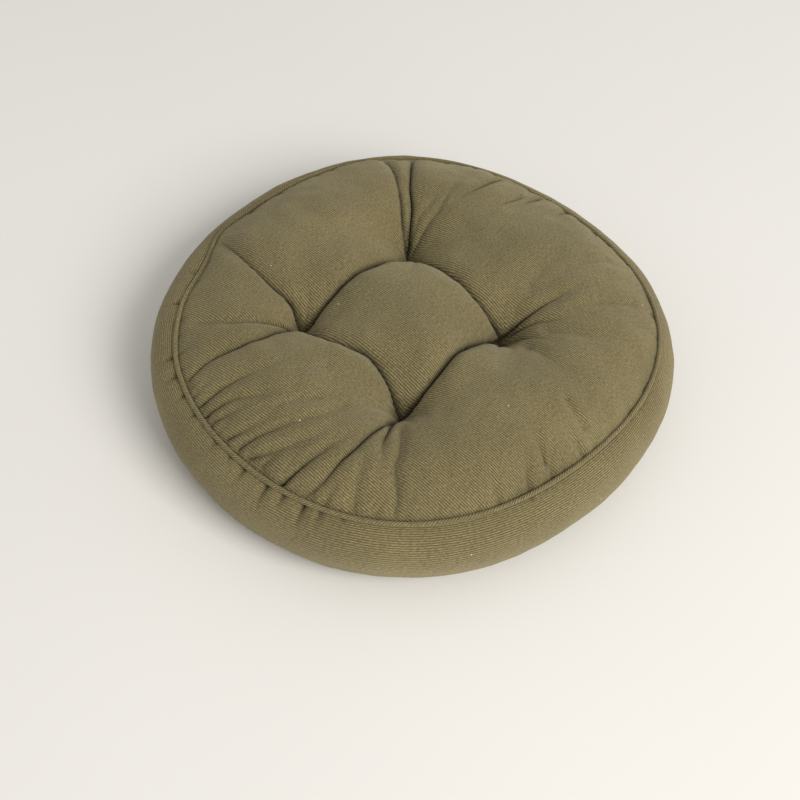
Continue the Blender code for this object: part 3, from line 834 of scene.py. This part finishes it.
def twist_group():
    """Plies and fuzz of a twisted yarn, in metres along it and round it."""
    inputs = [("Yarn Coordinate", "Vector"), ("Twist", "Float", 260.0)]
    tree, n = new_tree("Yarn Twist", "ShaderNodeTree", inputs, [("Ply", "Float")])
    given = n.add("NodeGroupInput").outputs
    along, around, _ = n.add("ShaderNodeSeparateXYZ", {0: given["Yarn Coordinate"]}).outputs
    wind = n.math("ADD", n.math("MULTIPLY", along, given["Twist"]), n.math("MULTIPLY", around, 3.0))
    ply = n.math("ABSOLUTE", n.math("SINE", n.math("MULTIPLY", wind, math.pi)))
    fuzz = n.noise(given["Yarn Coordinate"], 900.0, 3.0)
    shade = n.math("ADD", n.math("MULTIPLY", ply, 0.55), n.math("MULTIPLY", fuzz, 0.6))
    n.add("NodeGroupOutput", {"Ply": shade})
    return tree


def principled(name, **values):
    """A new material and its Principled shader, with the given socket values."""
    material = bpy.data.materials.new(name)
    material.use_nodes = True
    shader = material.node_tree.nodes["Principled BSDF"]
    for socket, value in values.items():
        shader.inputs[socket.replace("_", " ")].default_value = value
    return material, shader, Nodes(material.node_tree)


def placed_group(n, build, name, links):
    """The outputs of a shared group, which is built when it is first wanted."""
    tree = bpy.data.node_groups.get(name) or build()
    return n.add("ShaderNodeGroup", links, node_tree=tree).outputs


def darker(colour, share):
    return tuple(share * c for c in colour[:3]) + (1.0,)


def needlecord(name, colours, pitch, waver=0.25):
    """Needlecord on the piece's own cloth coordinates: ribs, pile, nap that lies this way and that, and painted
    shade where its fold mask is.
    """
    material, shader, n = principled(
        name, Roughness=0.94, Sheen_Weight=0.35, Sheen_Roughness=0.55, Sheen_Tint=(0.80, 0.74, 0.52, 1.0)
    )
    shader.inputs["Specular IOR Level"].default_value = 0.15
    place = n.first("ShaderNodeUVMap", uv_map="cloth")
    links = {"Cloth Coordinate": place, "Pitch": pitch, "Waver": waver}
    ribs = placed_group(n, needlecord_group, "Needlecord Ribs", links)
    colour = n.mix(ribs["Rib"], tuple(colours.groove), tuple(colours.rib))
    for mask, dark, light in (("Nap", (0.3, 0.84), (0.7, 1.12)), ("Grain", (0.32, 0.68), (0.68, 1.32))):
        colour = n.mix(1.0, colour, n.ramp(ribs[mask], dark, light), "MULTIPLY")
    # painted shade: the fold mask darkens the colour towards a near-black groove colour in creases, pits and
    # beside the seams
    fold = n.add("ShaderNodeAttribute", attribute_name="fold").outputs["Fac"]
    colour = n.mix(n.math("MULTIPLY", fold, 0.97), colour, darker(colours.groove, 0.12))
    colour = n.mix(ribs["Lint"], colour, (0.60, 0.58, 0.48, 1.0))
    n.finish(shader, colour, ribs["Height"], 0.35 * MM)
    return material


def yarn(name, colour, twist):
    """Twisted yarn: plies that wind round the piece along its own coordinates."""
    material, shader, n = principled(name, Roughness=0.85, Sheen_Weight=0.2, Sheen_Roughness=0.5)
    place = n.first("ShaderNodeUVMap", uv_map="cloth")
    ply = placed_group(n, twist_group, "Yarn Twist", {"Yarn Coordinate": place, "Twist": twist})["Ply"]
    n.finish(shader, n.mix(ply, darker(colour, 0.45), tuple(colour)), ply, 0.15 * MM)
    return material


def mottled(name, colour, shade, scale, detail, depth, strength=1.0, **values):
    """A finish that is a little lighter and darker from place to place, with a bump to match."""
    material, shader, n = principled(name, **values)
    lumps = n.noise(n.add("ShaderNodeTexCoord").outputs["Object"], scale, detail)
    n.finish(shader, n.mix(lumps, darker(colour, shade), tuple(colour)), lumps, depth, strength)
    return material


def sewing_thread(name, colour):
    """Fine thread with a slight sheen, a little lighter and darker from stitch to stitch."""
    sheen = {"Roughness": 0.6, "Sheen_Weight": 0.3, "Sheen_Roughness": 0.4}
    return mottled(name, colour, 0.55, 1400.0, 2.0, 0.1 * MM, 0.6, **sheen)


def fibre_fill(name, colour):
    return mottled(name, colour, 0.75, 60.0, 6.0, 3 * MM, Roughness=1.0, Sheen_Weight=0.5)


def plain_floor(name, colour):
    material, shader, n = principled(name, Roughness=0.75)
    shader.inputs["Specular IOR Level"].default_value = 0.2
    place = n.add("ShaderNodeTexCoord").outputs["Object"]
    shade = n.ramp(n.noise(place, 1.3, 2.0), (0.3, 0.97), (0.7, 1.0))
    n.finish(shader, n.mix(1.0, tuple(colour), shade, "MULTIPLY"))
    return material


# -------- the pieces


def cloth_uv(mesh, coordinates):
    """Gives the mesh the cloth's own coordinates, one for each point, in metres along and across the wales."""
    loops = values_of(mesh.loops, "vertex_index", 1, np.int32).ravel()
    mesh.uv_layers.new(name="cloth").data.foreach_set("uv", np.asarray(coordinates, float)[loops].ravel())


def panel_mesh(name, casing, side, points):
    """One piece of the settled casing as its own mesh, with cloth coordinates for the top and the underside."""
    faces = casing["faces"][side]
    used = sorted({i for face in faces for i in face})
    renumber = {old: new for new, old in enumerate(used)}
    mesh = bpy.data.meshes.new(name)
    mesh.from_pydata(points[used].tolist(), [], [tuple(renumber[i] for i in face) for face in faces])
    flat = casing["drum"][used]
    if side != "band":
        cloth_uv(mesh, np.c_[turned_point(flat[:, 0], flat[:, 1], -WALE_TURN)])
    return mesh, used


def band_uv(mesh, casing, used):
    """Gives the band coordinates along it from its join, where each face keeps its own side of the join."""
    flat = casing["drum"][used]
    angle = np.mod(np.arctan2(flat[:, 1], flat[:, 0]) - BACK, math.tau)
    layer = mesh.uv_layers.new(name="cloth")
    for face in mesh.polygons:
        turns = [angle[v] for v in face.vertices]
        for loop, vertex, turn in zip(face.loop_indices, face.vertices, turns):
            if max(turns) - min(turns) > math.pi and turn < math.pi:
                turn += math.tau
            layer.data[loop].uv = (turn * PATTERN_RADIUS, flat[vertex, 2])


def finish_panel(mesh, name, side, material, thickness):
    """Rounds a panel off, folds it if it is the top or the band, and gives it the thickness of the cloth."""
    obj = new_object(name, mesh)
    mesh.materials.append(material)
    add_modifier(obj, "SUBSURF", levels=1, render_levels=1, boundary_smooth="PRESERVE_CORNERS")
    obj = applied(obj)
    if side == "top":
        fold_top(obj.data)
    if side == "band":
        height = np.zeros(len(obj.data.vertices))
        layer = obj.data.uv_layers["cloth"]
        for loop in obj.data.loops:
            height[loop.vertex_index] = layer.data[loop.index].uv[1]
        fold_band(obj.data, height)
    add_modifier(obj, "SOLIDIFY", thickness=thickness, offset=-1.0)
    obj = applied(obj)
    obj.data.shade_smooth()
    return obj


class CUSHION_OT_cover(bpy.types.Operator):
    """Cuts the cover, stuffs it and tufts it, and makes the top, the underside and the side band"""

    bl_idname = "cushion.cover"
    bl_label = "Cover"

    def execute(self, context):
        sizes, colours = context.scene.cushion_sizes, context.scene.cushion_colours
        casing = cut_casing()
        points = rough_shape(casing)
        held = hold_tufts(casing, points)
        points = stuff_by_simulation(casing, points, held, sizes.fullness)
        points[:, 2] = np.maximum(points[:, 2], LOWEST_CLOTH)
        cover.update(casing=casing, points=points)
        material = needlecord("Needlecord", colours, sizes.wale_pitch)
        for side, name, node in (
            ("top", "top_panel_cloth", "top_panel"),
            ("under", "bottom_panel_cloth", "bottom_panel"),
            ("band", "side_band_cloth", "side_band"),
        ):
            mesh, used = panel_mesh(name, casing, side, points)
            if side == "band":
                band_uv(mesh, casing, used)
            obj = finish_panel(mesh, name, side, material, sizes.cloth_thickness)
            declare(obj, "needlecord", node, fill=0.8)
        return {"FINISHED"}


def settled_cover():
    """The casing and its points, which have to be made first."""
    if not cover:
        raise RuntimeError("make the cover first")
    return cover["casing"], cover["points"]


def seam_line(side):
    """The settled seam as a closed line of points."""
    casing, points = settled_cover()
    row = 0 if side == "upper" else casing["rows"]
    return rounded_line(points[[casing["band_point"](row, i) for i in range(casing["ring"])]], closed=True)


def curve_object(name, line, cyclic):
    curve = bpy.data.curves.new(name, "CURVE")
    curve.dimensions = "3D"
    spline = curve.splines.new("POLY")
    spline.points.add(len(line) - 1)
    spline.points.foreach_set("co", np.c_[line, np.ones(len(line))].ravel())
    spline.use_cyclic_u = cyclic
    return new_object(name, curve)


def piping_tree():
    """Sweeps a round cord along a line, and stores the lengths along it and round it."""
    inputs = [("Line", "Geometry"), ("Radius", "Float", 0.0027), ("Step", "Float", 0.0016)]
    inputs += [("Sides", "Int", 16), ("Finish", "Material")]
    tree, n = new_tree("Piping Sweep", "GeometryNodeTree", inputs, [("Cord", "Geometry")])
    given = n.add("NodeGroupInput").outputs

    def with_length(curve, name):
        length = n.add("GeometryNodeSplineParameter").outputs["Length"]
        links = {"Geometry": curve, "Name": name, "Value": length}
        return n.first("GeometryNodeStoreNamedAttribute", links, data_type="FLOAT")

    spread = {"Curve": given["Line"], "Length": given["Step"]}
    line = with_length(n.first("GeometryNodeResampleCurve", spread, mode="LENGTH"), "along")
    circle = {"Resolution": given["Sides"], "Radius": given["Radius"]}
    section = with_length(n.first("GeometryNodeCurvePrimitiveCircle", circle), "around")
    cord = n.first("GeometryNodeCurveToMesh", {"Curve": line, "Profile Curve": section, "Fill Caps": True})
    painted = n.first("GeometryNodeSetMaterial", {"Geometry": cord, "Material": given["Finish"]})
    n.add("NodeGroupOutput", {"Cord": n.first("GeometryNodeRealizeInstances", {"Geometry": painted})})
    return tree


def run_tree(obj, tree, values):
    """Runs a node tree on an object with the named inputs, and makes the result a plain mesh object."""
    modifier = obj.modifiers.new(tree.name, "NODES")
    modifier.node_group = tree
    for item in tree.interface.items_tree:
        if item.item_type == "SOCKET" and item.in_out == "INPUT" and item.name in values:
            modifier[item.identifier] = values[item.name]
    return applied(obj)


def cord_uv(mesh, sides, bias):
    """Turns the lengths stored along and round a swept cord into its cloth coordinates."""
    lengths = (mesh.attributes[name].data for name in ("along", "around"))
    along, around = (values_of(length, "value", 1, np.float32)[:, 0] for length in lengths)
    total, girth = along.max(), around.max()
    layer = mesh.uv_layers.new(name="cloth")
    for face in mesh.polygons:
        a = [along[v] for v in face.vertices]
        b = [around[v] for v in face.vertices]
        wrap_a, wrap_b = max(a) - min(a) > total / 2, max(b) - min(b) > girth / 2
        for loop, s, t in zip(face.loop_indices, a, b):
            s = s + total if wrap_a and s < total / 2 else s
            t = t + girth * sides / (sides - 1) if wrap_b and t < girth / 2 else t
            layer.data[loop].uv = turned_point(s, t, bias)


class CUSHION_OT_piping(bpy.types.Operator):
    """Covers a cord with a bias strip and runs it round both seams"""

    bl_idname = "cushion.piping"
    bl_label = "Piping"

    def execute(self, context):
        sizes, colours = context.scene.cushion_sizes, context.scene.cushion_colours
        tree = piping_tree()
        strip = needlecord("Needlecord Bias Strip", colours, sizes.wale_pitch, waver=0.6)
        cord = yarn("Piping Cord", colours.cord, 260.0)
        radius = sizes.piping_diameter / 2
        for side, tilt in (("upper", math.radians(45)), ("lower", math.radians(-30))):
            line = seam_line(side)
            outward = line[:, :2] / np.linalg.norm(line[:, :2], axis=1)[:, None]
            line = line + np.c_[outward * math.cos(tilt), np.full(len(line), math.sin(tilt))] * PIPING_LIFT
            for kind, material, size, sides, bias, slot in (
                ("cover", strip, radius, 16, math.radians(45), "needlecord"),
                ("cord", cord, radius - CORD_COVER, 8, 0.0, "piping_cord"),
            ):
                source = curve_object(f"{side}_piping_{kind}_made", line, True)
                values = {"Radius": size, "Step": CORD_STEP, "Sides": sides, "Finish": material}
                obj = run_tree(source, tree, values)
                cord_uv(obj.data, sides, bias)
                obj.data.shade_smooth()
                declare(obj, slot, f"{side}_piping_{kind}")
        return {"FINISHED"}


def stitch_tree():
    """Lays a row of short stitches along a line, each turned by the same slant."""
    inputs = [("Line", "Geometry"), ("Spacing", "Float", 0.0032), ("Stitch Length", "Float", 0.0026)]
    inputs += [("Thread Radius", "Float", 0.0003), ("Slant", "Float", 0.0), ("Finish", "Material")]
    tree, n = new_tree("Stitch Row", "GeometryNodeTree", inputs, [("Stitches", "Geometry")])
    given = n.add("NodeGroupInput").outputs
    spread = {"Curve": given["Line"], "Length": given["Spacing"]}
    line = n.first("GeometryNodeResampleCurve", spread, mode="LENGTH")
    stitch = n.first("GeometryNodeMeshUVSphere", {"Segments": 6, "Rings": 5, "Radius": 1.0})
    half = n.math("MULTIPLY", given["Stitch Length"], 0.5)
    size = n.vector(given["Thread Radius"], given["Thread Radius"], half)
    along = {"Vector": n.first("GeometryNodeInputTangent")}
    facing = n.first("FunctionNodeAlignRotationToVector", along, axis="Z")
    slant = n.first("FunctionNodeAxisAngleToRotation", {"Axis": (0.0, 1.0, 0.0), "Angle": given["Slant"]})
    turned = {"Rotation": facing, "Rotate By": slant}
    facing = n.first("FunctionNodeRotateRotation", turned, rotation_space="LOCAL")
    placed = {"Points": line, "Instance": stitch, "Rotation": facing, "Scale": size}
    row = n.first("GeometryNodeInstanceOnPoints", placed)
    real = n.first("GeometryNodeRealizeInstances", {"Geometry": row})
    painted = n.first("GeometryNodeSetMaterial", {"Geometry": real, "Material": given["Finish"]})
    n.add("NodeGroupOutput", {"Stitches": painted})
    return tree


def part_of_ring(line, first, last):
    """The part of a ring between two angles, in degrees."""
    angle = np.arctan2(line[:, 1], line[:, 0])
    inside = (np.degrees(angle) > first) & (np.degrees(angle) < last)
    return line[inside][np.argsort(angle[inside])]


def drawn_in(line, inward, height):
    """A ring's line drawn in towards the middle, at the given heights."""
    moved = line * (1 - inward / np.linalg.norm(line[:, :2], axis=1))[:, None]
    moved[:, 2] = height
    return moved


class CUSHION_OT_stitching(bpy.types.Operator):
    """Sews the two seams and the join of the band by machine, and closes the opening by hand"""

    bl_idname = "cushion.stitching"
    bl_label = "Stitching"

    def execute(self, context):
        sizes, colours = context.scene.cushion_sizes, context.scene.cushion_colours
        casing, points = settled_cover()
        tree = stitch_tree()
        thread = sewing_thread("Sewing Thread", colours.thread)
        upper, lower = seam_line("upper"), seam_line("lower")
        upper_row = drawn_in(upper, SEAM_INSET, upper[:, 2] - SEAM_DROP)
        lower_row = drawn_in(lower, SEAM_INSET, lower[:, 2] + SEAM_DROP)
        # the lower row stops for the stuffing gap, which is closed from outside
        lower_row = np.concatenate([part_of_ring(lower_row, 108.5, 181), part_of_ring(lower_row, -181, 71.5)])
        closing = part_of_ring(lower, 72, 108)
        closing = closing * (1 + 0.2 * MM / np.linalg.norm(closing[:, :2], axis=1))[:, None]
        closing[:, 2] -= SEAM_INSET
        back = round(casing["ring"] / 4)
        join = points[[casing["band_point"](row, back) for row in range(1, casing["rows"])]]
        join = join - np.array([0.0, 3.4 * MM, 0.0])
        machine = {"Spacing": sizes.stitch_spacing, "Stitch Length": MACHINE_STITCH}
        by_hand = {"Spacing": HAND_SPACING, "Stitch Length": HAND_STITCH, "Slant": HAND_SLANT}
        for name, line, cyclic, stitch, node in (
            ("upper_seam_stitches", upper_row, True, machine, "upper_seam_thread"),
            ("lower_seam_stitches", lower_row, False, machine, "lower_seam_thread"),
            ("closing_stitches", closing, False, by_hand, "closing_thread"),
            ("band_join_stitches", join, False, machine, "band_join_thread"),
        ):
            obj = run_tree(curve_object(name, line, cyclic), tree, {**stitch, "Finish": thread})
            obj.data.shade_smooth()
            declare(obj, "thread", node)
        return {"FINISHED"}


def swept(name, line, radius, material):
    """A closed tube of twine along an open line, with its coordinates along and round it."""
    mesh = bpy.data.meshes.new(name)
    line = np.array(line, float)
    sides = TWINE_SIDES
    steps = np.concatenate([[0.0], np.cumsum(np.linalg.norm(np.diff(line, axis=0), axis=1))])
    points, coordinates = [], []
    side = Vector(line[1] - line[0]).normalized().orthogonal().normalized()
    for place, direction, along in zip(line, np.gradient(line, axis=0), steps):
        direction = Vector(direction).normalized()
        side = (side - side.dot(direction) * direction).normalized()
        other = direction.cross(side)
        for k in range(sides):
            a = math.tau * k / sides
            points.append(Vector(place) + (side * math.cos(a) + other * math.sin(a)) * radius)
            coordinates.append((along, radius * a))
    last = (len(line) - 1) * sides
    faces = [
        (i + k, i + (k + 1) % sides, i + sides + (k + 1) % sides, i + sides + k)
        for i in range(0, last, sides)
        for k in range(sides)
    ]
    faces += [tuple(reversed(range(sides))), tuple(range(last, last + sides))]
    mesh.from_pydata(points, [], faces)
    cloth_uv(mesh, coordinates)
    mesh.materials.append(material)
    mesh.shade_smooth()
    return mesh


def joined(name, meshes):
    """One object from several meshes with the same layers."""
    parts = [new_object(f"{name}_{i}", mesh) for i, mesh in enumerate(meshes)]
    with bpy.context.temp_override(active_object=parts[0], selected_editable_objects=parts):
        bpy.ops.object.join()
    parts[0].name = name
    parts[0].data.name = name
    return parts[0]


class CUSHION_OT_ties(bpy.types.Operator):
    """Pulls a loop of twine through the cushion at each tuft and knots it below"""

    bl_idname = "cushion.ties"
    bl_label = "Tuft ties"

    def execute(self, context):
        sizes, colours = context.scene.cushion_sizes, context.scene.cushion_colours
        twine = yarn("Twine", colours.twine, 900.0)
        radius = sizes.twine_diameter / 2
        thinner = radius * 0.9
        top, bottom = TUFT_TOP + 1.6 * MM, TUFT_UNDER - 4.0 * MM
        across = Vector((math.cos(WALE_TURN), math.sin(WALE_TURN), 0.0))
        leg = ((1, bottom + 2.5 * MM), (1, top - 2 * MM), (0.8, top - 0.5 * MM))
        over_top = [(-share, height) for share, height in leg] + [(0, top)] + list(reversed(leg))
        for name, (x, y) in TUFTS.items():
            middle = Vector((x, y, 0.0))
            low = middle + Vector((0, 0, bottom))
            loop = [
                middle + across * (LOOP_HALF * share) + Vector((0, 0, height)) for share, height in over_top
            ]
            meshes = [swept(f"tie_{name}_loop", rounded_line(loop, pieces=6), radius, twine)]
            knot = []
            for a in [math.tau * k / 40 for k in range(40)] + [0.0]:
                ring = 1.5 + 0.75 * math.cos(3 * a)
                turn = Vector((ring * math.cos(2 * a), ring * math.sin(2 * a), 0.9 * math.sin(3 * a)))
                knot.append(low + turn * MM)
            meshes.append(swept(f"tie_{name}_knot", knot, thinner, twine))
            for side in (-1, 1):
                tail = [
                    low + across * (side * out * MM) + Vector((0, 0, drop * MM))
                    for out, drop in ((1.5, 0), (4, -0.8), (7, -1.2), (10, -2.0))
                ]
                meshes.append(swept(f"tie_{name}_tail", rounded_line(tail), thinner, twine))
            declare(joined(f"tuft_tie_{name}_twine", meshes), "twine", f"tuft_tie_{name}")
        return {"FINISHED"}


class CUSHION_OT_filling(bpy.types.Operator):
    """Fills the cover with loose fibre, pulled in where the cover folds"""

    bl_idname = "cushion.filling"
    bl_label = "Filling"

    def execute(self, context):
        casing, points = settled_cover()
        mesh = bpy.data.meshes.new("fibre_filling_made")
        mesh.from_pydata(points.tolist(), [], sum(casing["faces"].values(), []))
        mesh.update()
        inset = np.full(len(points), FILLING_INSET)
        top, band = casing["top"], casing["band"]
        plan = points[top, :2] / MM
        for line, first, last, reach in CREASES:
            distance, along, _places = distance_to_line(plan, rounded_line(line))
            nearby = np.clip(1.5 * (1 - distance / (reach + 6)), 0, 1)
            depth = (first + (last - first) * along + FILLING_INSET) * nearby
            inset[top] = np.maximum(inset[top], FILLING_INSET + depth)
        below = (PATTERN_BAND - casing["drum"][band, 2]) / MM
        inset[band] += 9.0 * np.clip(1 - below / 45, 0, 1)
        moved = points - normals_of(mesh) * (inset * MM)[:, None]
        moved[:, 2] += 0.6 * MM * unevenness(points, 30 * MM, 1.0)
        moved[:, 2] = np.maximum(moved[:, 2], FLOOR_GAP)
        set_points(mesh, moved)
        mesh.materials.append(fibre_fill("Fibre Filling", context.scene.cushion_colours.fibre))
        mesh.shade_smooth()
        declare(new_object("fibre_filling_made", mesh), "fibre", "fibre_filling", fill=0.9)
        return {"FINISHED"}


class CUSHION_OT_stage(bpy.types.Operator):
    """Lays a plain pale floor, and sets the soft light and the camera"""

    bl_idname = "cushion.stage"
    bl_label = "Stage"

    def execute(self, context):
        scene = context.scene
        mesh = square("floor", 6)
        mesh.materials.append(plain_floor("Pale Floor", scene.cushion_colours.floor))
        new_object("floor", mesh)
        scene.world = bpy.data.worlds.new("Soft Room")
        scene.world.use_nodes = True
        background = scene.world.node_tree.nodes["Background"]
        background.inputs["Color"].default_value = (1.0, 0.985, 0.96, 1.0)
        background.inputs["Strength"].default_value = ROOM_LIGHT
        light = bpy.data.lights.new("Window", "AREA")
        light.size, light.energy, light.color = WINDOW_SIZE, WINDOW_POWER, (1.0, 0.98, 0.95)
        lamp = new_object("Window", light)
        lamp.location = WINDOW_PLACE
        lamp.rotation_euler = (-Vector(WINDOW_PLACE)).to_track_quat("-Z", "Y").to_euler()
        camera = bpy.data.cameras.new("Camera")
        camera.lens, camera.sensor_width = CAMERA_LENS, 36.0
        seat = new_object("Camera", camera)
        forward = Vector((0, math.cos(CAMERA_DOWN), -math.sin(CAMERA_DOWN)))
        level_right, level_up = Vector((1, 0, 0)), Vector((0, math.sin(CAMERA_DOWN), math.cos(CAMERA_DOWN)))
        right = math.cos(CAMERA_LEAN) * level_right + math.sin(CAMERA_LEAN) * level_up
        up = -math.sin(CAMERA_LEAN) * level_right + math.cos(CAMERA_LEAN) * level_up
        turned = Matrix((right, up, -forward)).transposed().to_4x4()
        seat.matrix_world = Matrix.Translation(CAMERA_PLACE) @ turned
        scene.camera = seat
        scene.view_settings.view_transform = "Standard"
        return {"FINISHED"}


class CUSHION_PT_panel(bpy.types.Panel):
    """Lists the pieces of the cushion and the sizes and colours that they use"""

    bl_label = "Floor Cushion"
    bl_idname = "CUSHION_PT_panel"
    bl_space_type = "VIEW_3D"
    bl_region_type = "UI"
    bl_category = "Cushion"

    def draw(self, context):
        for settings in (context.scene.cushion_sizes, context.scene.cushion_colours):
            box = self.layout.box()
            for name in settings.bl_rna.properties.keys():
                if name not in ("rna_type", "name"):
                    box.prop(settings, name)
        for step in STEPS:
            self.layout.operator(step.bl_idname)


STEPS = (
    CUSHION_OT_cover,
    CUSHION_OT_piping,
    CUSHION_OT_stitching,
    CUSHION_OT_ties,
    CUSHION_OT_filling,
    CUSHION_OT_stage,
)
CLASSES = (CushionSizes, CushionColours, *STEPS, CUSHION_PT_panel)


def register():
    for made in CLASSES:
        bpy.utils.register_class(made)
    bpy.types.Scene.cushion_sizes = bpy.props.PointerProperty(type=CushionSizes)
    bpy.types.Scene.cushion_colours = bpy.props.PointerProperty(type=CushionColours)


def unregister():
    del bpy.types.Scene.cushion_colours
    del bpy.types.Scene.cushion_sizes
    for made in reversed(CLASSES):
        bpy.utils.unregister_class(made)


def main():
    register()
    bpy.ops.cushion.cover()
    bpy.ops.cushion.piping()
    bpy.ops.cushion.stitching()
    bpy.ops.cushion.ties()
    bpy.ops.cushion.filling()
    bpy.ops.cushion.stage()


if __name__ == "__main__":
    main()
